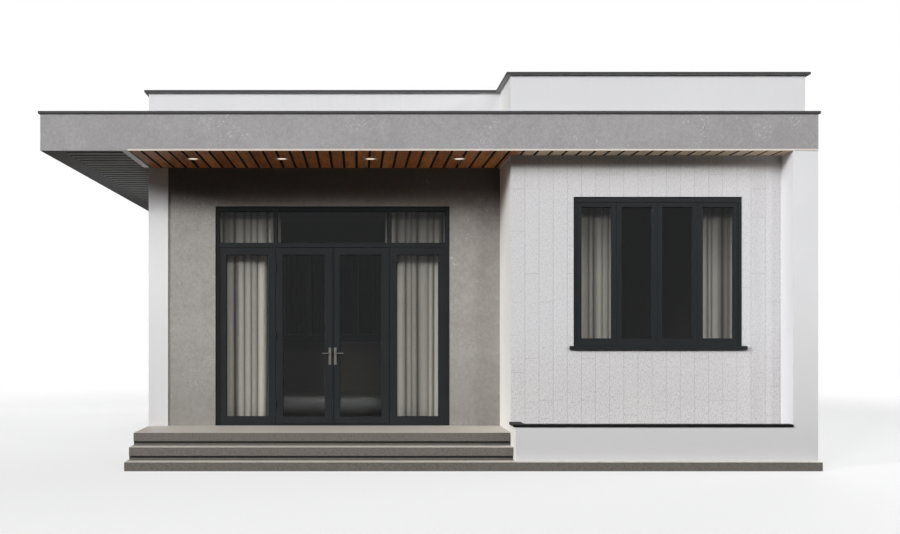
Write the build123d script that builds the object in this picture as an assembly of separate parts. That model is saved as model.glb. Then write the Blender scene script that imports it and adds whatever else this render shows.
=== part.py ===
from build123d import *
import os

# A single-storey house with a flat roof: a porch on the left, a wing that stands forward on
# the right, a deep canopy along the whole front and a louvred pergola beside the left wall.
# Lengths are millimetres and angles are degrees. x runs to the right along the front, y into
# the house and z up. While the pieces are drawn, x is 0 at the left wall's outer face, y is 0
# at the porch wall's outer face and z is 0 at the ground.

# House body
house_width = 7760
house_depth = 8600
wall_thickness = 200
wing_width = 3400
wing_projection = 1130
cladding_thickness = 15
pilaster_width = 240
pilaster_projection = 20
fin_width = 280

# Steps, from the ground to the floor
bottom_rise = 100
step_rise = 140
tread_slab = 100
tread_depth = 300
landing_depth = 1100
riser_setback = 30

# Heights above the floor
soffit_height = 3200
head_height = 2725
window_base_height = 1005

# Roof
roof_thickness = 150
parapet_height = 932
parapet_coping_thickness = 28
parapet_coping_overhang = 50
coping_inner_overhang = 30
coping_joint = 3

# Canopy
canopy_depth = 1560
fascia_thickness = 120
fascia_height = 413
canopy_slab_thickness = 150
canopy_coping_thickness = 29
canopy_coping_overhang = 22
soffit_thickness = 20
front_trim_thickness = 15
edge_strip_width = 75
edge_strip_overhang = 60
wing_trim_height = 12
wing_trim_projection = 15

# Pergola
pergola_width = 965
pergola_beam_width = 245
louvre_width = 140
louvre_thickness = 60
louvre_gap_target = 90

# Downlights in the soffit
downlight_count = 4
downlight_left_margin = 660
downlight_right_margin = 572
downlight_y = -860
downlight_flange_radius = 78
downlight_flange_thickness = 4
downlight_can_radius = 60
downlight_hole_clearance = 1
downlight_top_clearance = 2

# Planter in front of the wing
fin_setback = 8
planter_wall = 100
planter_height = 380
planter_bed = 80
rim_height = 30
rim_overhang = 20
rim_inner_lip = 12

# Door unit: a frame with a transom over two fixed panels and two leaves
door_width = 2910
door_offset = -19
frame_recess = 30
frame_depth = 100
jamb_width = 47
head_width = 60
threshold_height = 15
leaf_zone_height = 2201
transom_bar = 50
transom_mullion = 40
side_panel_width = 698
panel_inset = 10
panel_thickness = 50
stile_width = 85
rail_height = 84
leaf_end_clearance = 6
hinge_gap = 5
meeting_gap = 8
glass_thickness = 6
glass_rebate = 10

# Hinges of the two leaves
hinge_barrel_radius = 8
hinge_axis_offset = 9
hinge_pin_radius = 4
hinge_running_clearance = 0.05
hinge_knuckle_height = 45
hinge_knuckle_gap = 0.5
hinge_plate_width = 32
hinge_plate_thickness = 4
hinge_inset = 200
hinge_count = 3

# Lever handles
backset = 29
plate_width = 33
plate_height = 212
plate_thickness = 8
plate_base_height = 755
spindle_height = 898
spindle_radius = 8
spindle_clearance = 0.05
spindle_hole_radius = 10
lever_length = 100
lever_radius = 9
lever_reach = 45

# Windows: one in the wing's front, one in the left wall and two in the back wall
window_inset = 724
window_width = 1946
window_height = 1720
window_recess = 25
window_frame_depth = 80
window_jamb = 38
window_head = 60
window_foot = 24
sash_count = 4
sash_gap = 3
sash_member = 54
sash_inset = 10
sash_thickness = 50
sill_thickness = 45
sill_projection = 50
sill_side_overhang = 47
back_window_inset = 1100

# Curtains and the ceiling tracks that carry them
curtain_offset = 100
curtain_thickness = 60
curtain_floor_gap = 20
curtain_hook_gap = 0.3
track_width = 30
track_height = 30
track_overrun = 100
door_curtain_width = 822
door_curtain_overlap = 26
window_curtain_width = 570
window_right_curtain_width = 450
window_curtain_overlap = 20

# Levels worked out from the sizes above
floor_level = bottom_rise + 2 * step_rise
soffit_level = floor_level + soffit_height
board_top = soffit_level + soffit_thickness
head_level = floor_level + head_height
roof_top = soffit_level + roof_thickness
parapet_top = soffit_level + parapet_height
fascia_top = soffit_level + fascia_height

# Lines of the plan worked out from the sizes above
wing_x = house_width - wing_width
wing_y = -wing_projection
cladding_y = wing_y - cladding_thickness
fascia_y = -canopy_depth
fascia_back_y = fascia_y + fascia_thickness
fin_x = house_width - fin_width
fin_y = fascia_y + fin_setback
canopy_left_x = -edge_strip_overhang
canopy_right_x = house_width - fascia_thickness
pergola_x = -pergola_width
pergola_inner_x = pergola_x + pergola_beam_width
landing_y = -landing_depth
middle_step_y = landing_y - tread_depth
bottom_step_y = middle_step_y - tread_depth


# A box between two corners.
def block(x0, x1, y0, y1, z0, z1):
    corner = Pos((x0 + x1) / 2, (y0 + y1) / 2, (z0 + z1) / 2)
    return corner * Box(x1 - x0, y1 - y0, z1 - z0)


# The L of the house, its outline moved outwards by growth.
def house_plan(growth, base, height):
    left, right = -growth, house_width + growth
    porch, wing, back = -growth, wing_y - growth, house_depth + growth
    corner = wing_x - growth
    outline = Polyline((left, porch), (corner, porch), (corner, wing), (right, wing),
                       (right, back), (left, back), close=True)
    return Pos(0, 0, base) * extrude(make_face(outline), height)


# A round bar along x.
def bar_along_x(x0, x1, y, z, radius):
    return Pos((x0 + x1) / 2, y, z) * Rot(0, 90, 0) * Cylinder(radius, abs(x1 - x0))


# A round bar along y.
def bar_along_y(x, y0, y1, z, radius):
    return Pos(x, (y0 + y1) / 2, z) * Rot(90, 0, 0) * Cylinder(radius, abs(y1 - y0))


# A round bar along z.
def bar_along_z(x, y, z0, z1, radius):
    return Pos(x, y, (z0 + z1) / 2) * Cylinder(radius, z1 - z0)


# The floor and the steps

def floor_slab():
    return house_plan(0, 0, floor_level)


def bottom_step():
    porch = block(0, wing_x, bottom_step_y, 0, 0, bottom_rise)
    wing = block(wing_x, house_width, bottom_step_y, wing_y, 0, bottom_rise)
    return porch + wing


def step_core():
    lower_riser = middle_step_y + riser_setback
    upper_riser = landing_y + riser_setback
    low = block(0, wing_x, lower_riser, 0, bottom_rise, bottom_rise + step_rise - tread_slab)
    high = block(0, wing_x, upper_riser, 0, bottom_rise, floor_level - tread_slab)
    return low + high


def middle_step():
    top = bottom_rise + step_rise
    return block(0, wing_x, middle_step_y, landing_y + riser_setback, top - tread_slab, top)


def landing_slab():
    return block(0, wing_x, landing_y, 0, floor_level - tread_slab, floor_level)


# The planter in front of the wing

def planter_box():
    top = bottom_rise + planter_height
    outer = block(wing_x, fin_x, fin_y, cladding_y, bottom_rise, top)
    trough = block(wing_x + planter_wall, fin_x, fin_y + planter_wall, cladding_y,
                   bottom_rise + planter_bed, top)
    return outer - trough


def planter_rim():
    base = bottom_rise + planter_height
    outer = block(wing_x - rim_overhang, fin_x, fin_y - rim_overhang, cladding_y,
                  base, base + rim_height)
    inner = block(wing_x + planter_wall + rim_inner_lip, fin_x,
                  fin_y + planter_wall + rim_inner_lip, cladding_y, base, base + rim_height)
    return outer - inner


# Windows. One is drawn in its own frame: x across, y into the wall from its outer face and
# z up from the opening's foot. Each wall then has its own place for it.

sash_width = (window_width - 2 * window_jamb - (sash_count - 1) * sash_gap) / sash_count
window_base = floor_level + window_base_height
window_left_x = wing_x + window_inset
left_window_y = (house_depth + window_width) / 2
window_places = {
    "wing": Pos(window_left_x, cladding_y, window_base),
    "left": Pos(0, left_window_y, window_base) * Rot(0, 0, -90),
    "back_left": Pos(house_width - back_window_inset, house_depth, window_base) * Rot(0, 0, 180),
    "back_right": Pos(back_window_inset + window_width, house_depth, window_base) * Rot(0, 0, 180),
}


def wall_depth(wall):
    return wall_thickness + cladding_thickness if wall == "wing" else wall_thickness


def window_opening(wall):
    hole = block(0, window_width, 0, wall_depth(wall), -sill_thickness, window_height)
    return window_places[wall] * hole


def window_frame():
    front, back = window_recess, window_recess + window_frame_depth
    outer = block(0, window_width, front, back, 0, window_height)
    light = block(window_jamb, window_width - window_jamb, front, back,
                  window_foot, window_height - window_head)
    return outer - light


def sash_span(index):
    left = window_jamb + index * (sash_width + sash_gap)
    return left, left + sash_width


def sash_pane(index):
    left, right = sash_span(index)
    edge = sash_member - glass_rebate
    middle = window_recess + sash_inset + sash_thickness / 2
    return block(left + edge, right - edge,
                 middle - glass_thickness / 2, middle + glass_thickness / 2,
                 window_foot + edge, window_height - window_head - edge)


def sash(index):
    left, right = sash_span(index)
    front = window_recess + sash_inset
    back = front + sash_thickness
    base, top = window_foot, window_height - window_head
    outer = block(left, right, front, back, base, top)
    light = block(left + sash_member, right - sash_member, front, back,
                  base + sash_member, top - sash_member)
    return outer - light - sash_pane(index)


def window_sill(wall):
    nosing = block(-sill_side_overhang, window_width + sill_side_overhang,
                   -sill_projection, 0, -sill_thickness, 0)
    tongue = block(0, window_width, 0, wall_depth(wall), -sill_thickness, 0)
    return window_places[wall] * (nosing + tongue)


# Walls

door_left_x = (pilaster_width + wing_x - door_width) / 2 + door_offset
door_right_x = door_left_x + door_width


def left_wall():
    wall = block(0, wall_thickness, wall_thickness, house_depth - wall_thickness,
                 floor_level, parapet_top)
    return wall - window_opening("left")


def right_wall():
    return block(house_width - wall_thickness, house_width, wing_y + wall_thickness,
                 house_depth - wall_thickness, floor_level, parapet_top)


def back_wall():
    wall = block(0, house_width, house_depth - wall_thickness, house_depth,
                 floor_level, parapet_top)
    return wall - window_opening("back_left") - window_opening("back_right")


def left_pilaster():
    return block(0, pilaster_width, -pilaster_projection, wall_thickness,
                 floor_level, soffit_level)


def porch_wall_left():
    return block(pilaster_width, door_left_x, 0, wall_thickness, floor_level, head_level)


def porch_wall_right():
    return block(door_right_x, wing_x, 0, wall_thickness, floor_level, head_level)


def porch_wall_top():
    return block(pilaster_width, wing_x, 0, wall_thickness, head_level, soffit_level)


def front_parapet():
    return block(0, wing_x, 0, wall_thickness, soffit_level, parapet_top)


def wing_side_wall():
    return block(wing_x, wing_x + wall_thickness, wing_y + wall_thickness, wall_thickness,
                 floor_level, parapet_top)


def wing_front_wall():
    wall = block(wing_x, house_width, wing_y, wing_y + wall_thickness,
                 floor_level, parapet_top)
    return wall - window_opening("wing")


def wing_cladding():
    skin = block(wing_x, fin_x, cladding_y, wing_y, bottom_rise, soffit_level)
    return skin - window_opening("wing")


def right_fin():
    return block(fin_x, house_width, fin_y, wing_y, bottom_rise, soffit_level)


# Roof

def roof_slab():
    return house_plan(-wall_thickness, soffit_level, roof_thickness)


# Six straight lengths of coping, with an open joint where two meet.
def parapet_coping():
    out = parapet_coping_overhang
    inside = wall_thickness + coping_inner_overhang
    joint = inside + coping_joint
    lengths = [(-out, wing_x - out - coping_joint, -out, inside),
               (wing_x - out, wing_x + inside, wing_y + joint, inside),
               (wing_x - out, house_width + out, wing_y - out, wing_y + inside),
               (house_width - inside, house_width + out, wing_y + joint, house_depth - joint),
               (-out, house_width + out, house_depth - inside, house_depth + out),
               (-out, inside, joint, house_depth - joint)]
    top = parapet_top + parapet_coping_thickness
    return Compound([block(*length, parapet_top, top) for length in lengths])


# Canopy and pergola

def front_fascia():
    beam = block(pergola_x, house_width, fascia_y, fascia_back_y, soffit_level, fascia_top)
    end = block(canopy_right_x, house_width, fascia_back_y, wing_y, soffit_level, fascia_top)
    left = canopy_left_x + edge_strip_width
    behind_trim = fascia_y + front_trim_thickness
    trim_rebate = block(left, house_width, fascia_y, behind_trim, soffit_level, board_top)
    soffit_rebate = block(canopy_left_x, house_width, behind_trim, fascia_back_y,
                          soffit_level, board_top)
    return beam + end - trim_rebate - soffit_rebate


def canopy_slab():
    top = board_top + canopy_slab_thickness
    porch = block(canopy_left_x, wing_x, fascia_back_y, 0, board_top, top)
    wing = block(wing_x, canopy_right_x, fascia_back_y, wing_y, board_top, top)
    return porch + wing


def downlight_places():
    last = wing_x - downlight_right_margin
    pitch = (last - downlight_left_margin) / (downlight_count - 1)
    return [downlight_left_margin + index * pitch for index in range(downlight_count)]


def soffit_boards():
    front = fascia_y + front_trim_thickness
    left = canopy_left_x + edge_strip_width
    porch = block(left, wing_x, front, 0, soffit_level, board_top)
    under_fascia = block(wing_x, house_width, front, fascia_back_y, soffit_level, board_top)
    wing = block(wing_x, canopy_right_x, fascia_back_y, wing_y, soffit_level, board_top)
    boards = porch + under_fascia + wing
    for x in downlight_places():
        boards -= bar_along_z(x, downlight_y, soffit_level, board_top,
                              downlight_can_radius + downlight_hole_clearance)
    return boards


def soffit_trim():
    left = canopy_left_x + edge_strip_width
    behind = fascia_y + front_trim_thickness
    front = block(left, house_width, fascia_y, behind, soffit_level, board_top)
    edge = block(canopy_left_x, left, behind, 0, soffit_level, board_top)
    wing_front = block(wing_x - wing_trim_projection, fin_x,
                       cladding_y - wing_trim_projection, cladding_y,
                       soffit_level - wing_trim_height, soffit_level)
    wing_side = block(wing_x - wing_trim_projection, wing_x, cladding_y, 0,
                      soffit_level - wing_trim_height, soffit_level)
    return Compound([front, edge, wing_front + wing_side])


def downlights():
    lights = []
    for x in downlight_places():
        flange = bar_along_z(x, downlight_y, soffit_level - downlight_flange_thickness,
                             soffit_level, downlight_flange_radius)
        can = bar_along_z(x, downlight_y, soffit_level, board_top - downlight_top_clearance,
                          downlight_can_radius)
        lights.append(flange + can)
    return Compound(lights)


def pergola_beams():
    side = block(pergola_x, pergola_inner_x, fascia_back_y, house_depth,
                 soffit_level, fascia_top)
    back = block(pergola_inner_x, 0, house_depth - pergola_beam_width, house_depth,
                 soffit_level, fascia_top)
    return side + back


def pergola_louvres():
    start, end = fascia_back_y, house_depth - pergola_beam_width
    span = end - start
    count = round((span - louvre_gap_target) / (louvre_width + louvre_gap_target))
    gap = (span - count * louvre_width) / (count + 1)
    louvres = []
    for index in range(count):
        front = start + gap + index * (louvre_width + gap)
        right = canopy_left_x if front < 0 else 0
        louvres.append(block(pergola_inner_x, right, front, front + louvre_width,
                             soffit_level, soffit_level + louvre_thickness))
    return Compound(louvres)


def canopy_coping():
    grow = canopy_coping_overhang
    base, top = fascia_top, fascia_top + canopy_coping_thickness
    side_front_y = fascia_back_y + grow + coping_joint
    back_front_y = house_depth - pergola_beam_width - grow
    front = block(pergola_x - grow, house_width + grow, fascia_y - grow, fascia_back_y + grow,
                  base, top)
    side = block(pergola_x - grow, pergola_inner_x + grow, side_front_y, house_depth + grow,
                 base, top)
    back = block(pergola_inner_x + grow + coping_joint, 0, back_front_y, house_depth + grow,
                 base, top)
    right = block(house_width - fascia_thickness - grow, house_width + grow, side_front_y,
                  wing_y, base, top)
    return Compound([front, side, back, right])


# Door unit

frame_y = frame_recess
panel_y = frame_y + panel_inset
panel_back_y = panel_y + panel_thickness
glass_y = panel_y + panel_thickness / 2
zone_base = floor_level + threshold_height
zone_top = zone_base + leaf_zone_height
clear_left = door_left_x + jamb_width
clear_right = door_right_x - jamb_width
leaf_width = (clear_right - clear_left - 2 * side_panel_width - 2 * hinge_gap - meeting_gap) / 2
left_leaf_x = clear_left + side_panel_width + hinge_gap
right_leaf_x = left_leaf_x + leaf_width + meeting_gap
left_hinge_x = left_leaf_x - hinge_gap / 2
right_hinge_x = right_leaf_x + leaf_width + hinge_gap / 2
hinge_y = panel_y - hinge_axis_offset
leaf_base = zone_base + leaf_end_clearance
leaf_top = zone_top - leaf_end_clearance
spindle_level = floor_level + spindle_height
left_spindle_x = left_leaf_x + leaf_width - backset
right_spindle_x = right_leaf_x + backset


def transom_openings():
    base, top = zone_top + transom_bar, head_level - head_width
    joints = [left_hinge_x, right_hinge_x]
    edges = [clear_left]
    for joint in joints:
        edges += [joint - transom_mullion / 2, joint + transom_mullion / 2]
    edges.append(clear_right)
    return [(edges[i], edges[i + 1], base, top) for i in range(0, len(edges), 2)]


def transom_panes():
    panes = []
    for left, right, base, top in transom_openings():
        panes.append(block(left - glass_rebate, right + glass_rebate,
                           glass_y - glass_thickness / 2, glass_y + glass_thickness / 2,
                           base - glass_rebate, top + glass_rebate))
    return panes


def door_frame():
    back = frame_y + frame_depth
    frame = block(door_left_x, door_right_x, frame_y, back, floor_level, head_level)
    frame -= block(clear_left, clear_right, frame_y, back, zone_base, zone_top)
    for left, right, base, top in transom_openings():
        frame -= block(left, right, frame_y, back, base, top)
    for pane in transom_panes():
        frame -= pane
    return frame


# The glass of a panel, let into its stiles and rails.
def panel_pane(x, width, base, top):
    edge = stile_width - glass_rebate
    foot = rail_height - glass_rebate
    return block(x + edge, x + width - edge,
                 glass_y - glass_thickness / 2, glass_y + glass_thickness / 2,
                 base + foot, top - foot)


# A panel's two stiles and two rails. Rails are as high on a fixed panel as on a leaf.
def panel_frame(x, width, base, top):
    outer = block(x, x + width, panel_y, panel_back_y, base, top)
    light = block(x + stile_width, x + width - stile_width, panel_y, panel_back_y,
                  leaf_base + rail_height, leaf_top - rail_height)
    return outer - light - panel_pane(x, width, leaf_base, leaf_top)


def hinge_bases():
    lowest = leaf_base + hinge_inset
    highest = leaf_top - hinge_inset - 2 * hinge_knuckle_height
    return [lowest + index * (highest - lowest) / (hinge_count - 1)
            for index in range(hinge_count)]


# A plate on a panel's face. side is 1 where the panel lies to the right of the pin.
def hinge_plate(hinge_x, side, base, top):
    ends = sorted((hinge_x, hinge_x + side * hinge_plate_width))
    return block(*ends, panel_y - hinge_plate_thickness, panel_y, base, top)


# The lower half of each hinge, with its pin, on the fixed panel.
def fixed_knuckles(hinge_x, side):
    knuckles = []
    for base in hinge_bases():
        top = base + hinge_knuckle_height
        knuckle = bar_along_z(hinge_x, hinge_y, base, top, hinge_barrel_radius)
        pin = bar_along_z(hinge_x, hinge_y, top, top + hinge_knuckle_height, hinge_pin_radius)
        knuckles.append(knuckle + pin + hinge_plate(hinge_x, side, base, top))
    return knuckles


# The upper half of each hinge, bored for the pin, on the leaf.
def leaf_knuckles(hinge_x, side):
    knuckles = []
    for hinge_base in hinge_bases():
        base = hinge_base + hinge_knuckle_height + hinge_knuckle_gap
        top = base + hinge_knuckle_height
        knuckle = bar_along_z(hinge_x, hinge_y, base, top, hinge_barrel_radius)
        bore = bar_along_z(hinge_x, hinge_y, base, top,
                           hinge_pin_radius + hinge_running_clearance)
        knuckles.append(knuckle + hinge_plate(hinge_x, side, base, top) - bore)
    return knuckles


def side_panels():
    left = panel_frame(clear_left, side_panel_width, zone_base, zone_top)
    right = panel_frame(clear_right - side_panel_width, side_panel_width, zone_base, zone_top)
    for knuckle in fixed_knuckles(left_hinge_x, -1):
        left += knuckle
    for knuckle in fixed_knuckles(right_hinge_x, 1):
        right += knuckle
    return Compound([left, right])


def fixed_glass():
    panes = transom_panes()
    for x in (clear_left, clear_right - side_panel_width):
        panes.append(panel_pane(x, side_panel_width, leaf_base, leaf_top))
    return Compound(panes)


def door_leaf(x, hinge_x, side, spindle_x):
    leaf = panel_frame(x, leaf_width, leaf_base, leaf_top)
    leaf -= bar_along_y(spindle_x, panel_y, panel_back_y, spindle_level, spindle_hole_radius)
    for knuckle in leaf_knuckles(hinge_x, side):
        leaf += knuckle
    return leaf


# The long plates on both faces of a leaf.
def handle_plates(spindle_x):
    base = floor_level + plate_base_height
    plates = []
    for y in (panel_y - plate_thickness, panel_back_y):
        plate = block(spindle_x - plate_width / 2, spindle_x + plate_width / 2,
                      y, y + plate_thickness, base, base + plate_height)
        plates.append(plate - bar_along_y(spindle_x, y, y + plate_thickness, spindle_level,
                                          spindle_radius + spindle_clearance))
    return Compound(plates)


# The spindle with a lever at each end. direction is 1 where they point to the right.
def lever(spindle_x, direction):
    front = panel_y - plate_thickness - lever_reach
    back = panel_back_y + plate_thickness + lever_reach
    piece = bar_along_y(spindle_x, front, back, spindle_level, spindle_radius)
    for y in (front, back):
        piece += bar_along_x(spindle_x, spindle_x + direction * lever_length, y,
                             spindle_level, lever_radius)
        piece += Pos(spindle_x, y, spindle_level) * Sphere(lever_radius)
    return piece


# Curtains

door_curtain_y = wall_thickness + curtain_offset
window_curtain_y = wing_y + wall_thickness + curtain_offset
track_base = soffit_level - track_height
window_right_x = window_left_x + window_width


def curtain(x0, x1, y):
    return block(x0, x1, y - curtain_thickness / 2, y + curtain_thickness / 2,
                 floor_level + curtain_floor_gap, track_base - curtain_hook_gap)


# Each curtain's left edge, right edge and line, two behind the door and two behind the
# wing's window.
def curtain_spans():
    door_left = door_left_x - door_curtain_overlap
    door_right = door_right_x + door_curtain_overlap
    window_left = window_left_x - window_curtain_overlap
    window_right = window_right_x + window_curtain_overlap
    return [(door_left, door_left + door_curtain_width, door_curtain_y),
            (door_right - door_curtain_width, door_right, door_curtain_y),
            (window_left, window_left + window_curtain_width, window_curtain_y),
            (window_right - window_right_curtain_width, window_right, window_curtain_y)]


def curtains():
    return Compound([curtain(*span) for span in curtain_spans()])


def curtain_tracks():
    spans = [(door_left_x, door_right_x, door_curtain_y),
             (window_left_x, window_right_x, window_curtain_y)]
    return Compound([block(left - track_overrun, right + track_overrun,
                           y - track_width / 2, y + track_width / 2, track_base, soffit_level)
                     for left, right, y in spans])


# The same piece of a window in each of the four places.
def all_windows(make):
    pieces = []
    for place in window_places.values():
        pieces += [place * piece for piece in make()]
    return Compound(pieces)


parts = {
    "floor_slab": floor_slab(),
    "bottom_step": bottom_step(),
    "step_core": step_core(),
    "middle_step": middle_step(),
    "landing_slab": landing_slab(),
    "planter_box": planter_box(),
    "planter_rim": planter_rim(),
    "right_fin": right_fin(),
    "left_pilaster": left_pilaster(),
    "left_wall": left_wall(),
    "right_wall": right_wall(),
    "back_wall": back_wall(),
    "porch_wall_left": porch_wall_left(),
    "porch_wall_right": porch_wall_right(),
    "porch_wall_top": porch_wall_top(),
    "front_parapet": front_parapet(),
    "wing_side_wall": wing_side_wall(),
    "wing_front_wall": wing_front_wall(),
    "wing_cladding": wing_cladding(),
    "roof_slab": roof_slab(),
    "parapet_coping": parapet_coping(),
    "front_fascia": front_fascia(),
    "canopy_slab": canopy_slab(),
    "canopy_coping": canopy_coping(),
    "soffit_boards": soffit_boards(),
    "soffit_trim": soffit_trim(),
    "downlights": downlights(),
    "pergola_beams": pergola_beams(),
    "pergola_louvres": pergola_louvres(),
    "door_frame": door_frame(),
    "side_panels": side_panels(),
    "fixed_glass": fixed_glass(),
    "door_leaf_left": door_leaf(left_leaf_x, left_hinge_x, 1, left_spindle_x),
    "door_leaf_right": door_leaf(right_leaf_x, right_hinge_x, -1, right_spindle_x),
    "door_glass_left": panel_pane(left_leaf_x, leaf_width, leaf_base, leaf_top),
    "door_glass_right": panel_pane(right_leaf_x, leaf_width, leaf_base, leaf_top),
    "handle_plates_left": handle_plates(left_spindle_x),
    "handle_plates_right": handle_plates(right_spindle_x),
    "lever_left": lever(left_spindle_x, -1),
    "lever_right": lever(right_spindle_x, 1),
    "window_frames": all_windows(lambda: [window_frame()]),
    "window_sashes": all_windows(lambda: [sash(index) for index in range(sash_count)]),
    "window_glass": all_windows(lambda: [sash_pane(index) for index in range(sash_count)]),
    "window_sills": Compound([window_sill(wall) for wall in window_places]),
    "curtains": curtains(),
    "curtain_tracks": curtain_tracks(),
}

# The origin is at the middle of the base, on the ground.
left_end = pergola_x - canopy_coping_overhang
right_end = house_width + max(canopy_coping_overhang, parapet_coping_overhang)
front_end = min(bottom_step_y, fascia_y - canopy_coping_overhang)
back_end = house_depth + max(canopy_coping_overhang, parapet_coping_overhang)
middle = Pos(-(left_end + right_end) / 2, -(front_end + back_end) / 2, 0)

os.makedirs("parts", exist_ok=True)
for name, part in parts.items():
    export_step(middle * part, f"parts/{name}.step")

print("origin is at x", (left_end + right_end) / 2, "y", (front_end + back_end) / 2)
print("left hinge", left_hinge_x, hinge_y, "right hinge", right_hinge_x, hinge_y)
print("left spindle", left_spindle_x, "right spindle", right_spindle_x, "at", spindle_level)
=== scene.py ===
# Finishes, cladding, curtains and light for a single-storey house with a flat roof, around its
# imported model. Lengths are metres. A colour is written as a screen shows it, from 0 to 255.

from math import cos, pi, radians, sin

import bmesh
import bpy
import numpy as np
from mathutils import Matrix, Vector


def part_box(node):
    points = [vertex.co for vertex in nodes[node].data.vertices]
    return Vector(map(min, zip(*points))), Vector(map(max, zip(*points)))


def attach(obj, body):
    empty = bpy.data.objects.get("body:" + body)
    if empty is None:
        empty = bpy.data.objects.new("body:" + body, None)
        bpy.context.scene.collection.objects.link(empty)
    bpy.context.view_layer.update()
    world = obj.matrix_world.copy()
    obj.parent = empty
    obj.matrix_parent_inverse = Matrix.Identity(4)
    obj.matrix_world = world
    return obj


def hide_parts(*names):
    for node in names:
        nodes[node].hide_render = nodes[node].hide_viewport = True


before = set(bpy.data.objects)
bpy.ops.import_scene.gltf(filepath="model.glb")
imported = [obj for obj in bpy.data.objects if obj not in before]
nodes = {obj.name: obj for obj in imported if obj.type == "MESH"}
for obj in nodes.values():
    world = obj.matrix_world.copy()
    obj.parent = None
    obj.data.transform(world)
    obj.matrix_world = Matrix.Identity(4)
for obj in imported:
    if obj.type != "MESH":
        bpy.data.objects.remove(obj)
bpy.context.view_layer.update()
scene = bpy.context.scene
print("frame loaded:", len(nodes), "nodes")


# Shader maths. A Channel is one output of a node, and the usual operators on it add Math nodes.

class Channel:
    def __init__(self, finish, socket):
        self.finish = finish
        self.socket = socket

    def maths(self, operation, first, second=0.5):
        return self.finish.node("ShaderNodeMath", {"operation": operation}, {0: first, 1: second})

    def __add__(self, other):
        return self.maths("ADD", self, other)

    def __radd__(self, other):
        return self.maths("ADD", other, self)

    def __sub__(self, other):
        return self.maths("SUBTRACT", self, other)

    def __rsub__(self, other):
        return self.maths("SUBTRACT", other, self)

    def __mul__(self, other):
        return self.maths("MULTIPLY", self, other)

    def __rmul__(self, other):
        return self.maths("MULTIPLY", other, self)

    def __gt__(self, other):
        return self.maths("GREATER_THAN", self, other)

    def __lt__(self, other):
        return self.maths("LESS_THAN", self, other)

    def __abs__(self):
        return self.maths("ABSOLUTE", self)

    def most(self, other):
        return self.maths("MAXIMUM", self, other)


# The nodes of one material, or of the world.
class Finish:
    def __init__(self, name, owner=None):
        self.owner = owner or bpy.data.materials.new(name)
        self.owner.use_nodes = True
        self.tree = self.owner.node_tree
        self.tree.nodes.clear()
        self.place = self.node("ShaderNodeTexCoord", output="Object")

    # Any node: its settings first, then the values or links of its sockets.
    def node(self, kind, settings=None, sockets=None, output=0):
        made = self.tree.nodes.new(kind)
        for name, value in (settings or {}).items():
            setattr(made, name, value)
        for name, value in (sockets or {}).items():
            if isinstance(value, Channel):
                self.tree.links.new(value.socket, made.inputs[name])
            else:
                made.inputs[name].default_value = value
        return None if output is None else Channel(self, made.outputs[output])

    def part(self, vector, axis):
        return self.node("ShaderNodeSeparateXYZ", None, {0: vector}, axis)

    # Soft random values about 0.5, in spots about size wide, longer by stretch along each axis.
    def noise(self, size, detail=3, stretch=(1, 1, 1), rough=0.5, twist=0.0, place=None):
        scale = tuple(1 / (size * longer) for longer in stretch)
        where = self.node("ShaderNodeVectorMath", {"operation": "MULTIPLY"},
                          {0: place or self.place, 1: scale})
        return self.node("ShaderNodeTexNoise", None,
                         {"Vector": where, "Scale": 1.0, "Detail": detail, "Roughness": rough,
                          "Distortion": twist})

    # 0 below low, 1 above high and smooth between them.
    def rise(self, value, low, high):
        return self.node("ShaderNodeMapRange", {"interpolation_type": "SMOOTHSTEP"},
                         {"Value": value, "From Min": low, "From Max": high})

    def mix(self, share, first, second):
        return self.node("ShaderNodeMix", {"data_type": "RGBA"},
                         {0: share, 6: first, 7: second}, 2)

    # The normal over a height from 0 to 1 that stands depth high.
    def relief(self, height, depth):
        return self.node("ShaderNodeBump", None, {"Height": height, "Distance": depth})

    def attribute(self, name):
        return self.node("ShaderNodeAttribute", {"attribute_name": name}, None, "Fac")

    def surface(self, colour, roughness, relief=None, others=None):
        values = {"Base Color": colour, "Roughness": roughness, **(others or {})}
        if relief is not None:
            values["Normal"] = relief
        return self.node("ShaderNodeBsdfPrincipled", None, values)

    def finished(self, shader):
        self.node("ShaderNodeOutputMaterial", None, {"Surface": shader}, None)
        return self.owner


def paint(red, green, blue):
    shown = np.array([red, green, blue]) / 255
    light = np.where(shown <= 0.04045, shown / 12.92, ((shown + 0.055) / 1.055) ** 2.4)
    return (*light.tolist(), 1.0)


# Meshes

hair = 1e-6  # points nearer than this are one point
cadHair = 1e-5  # the same for the frame's nodes, which are loose triangles


# The faces of a grid of points: each joins a point to the next along its row and its column.
def gridFaces(rows, columns, roundRows=False, roundColumns=False):
    i = np.arange(rows if roundRows else rows - 1)[:, None]
    j = np.arange(columns if roundColumns else columns - 1)[None, :]
    nextI, nextJ = (i + 1) % rows, (j + 1) % columns
    corners = [i * columns + j, nextI * columns + j, nextI * columns + nextJ, i * columns + nextJ]
    return np.stack(np.broadcast_arrays(*corners), axis=-1).reshape(-1, 4)


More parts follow.
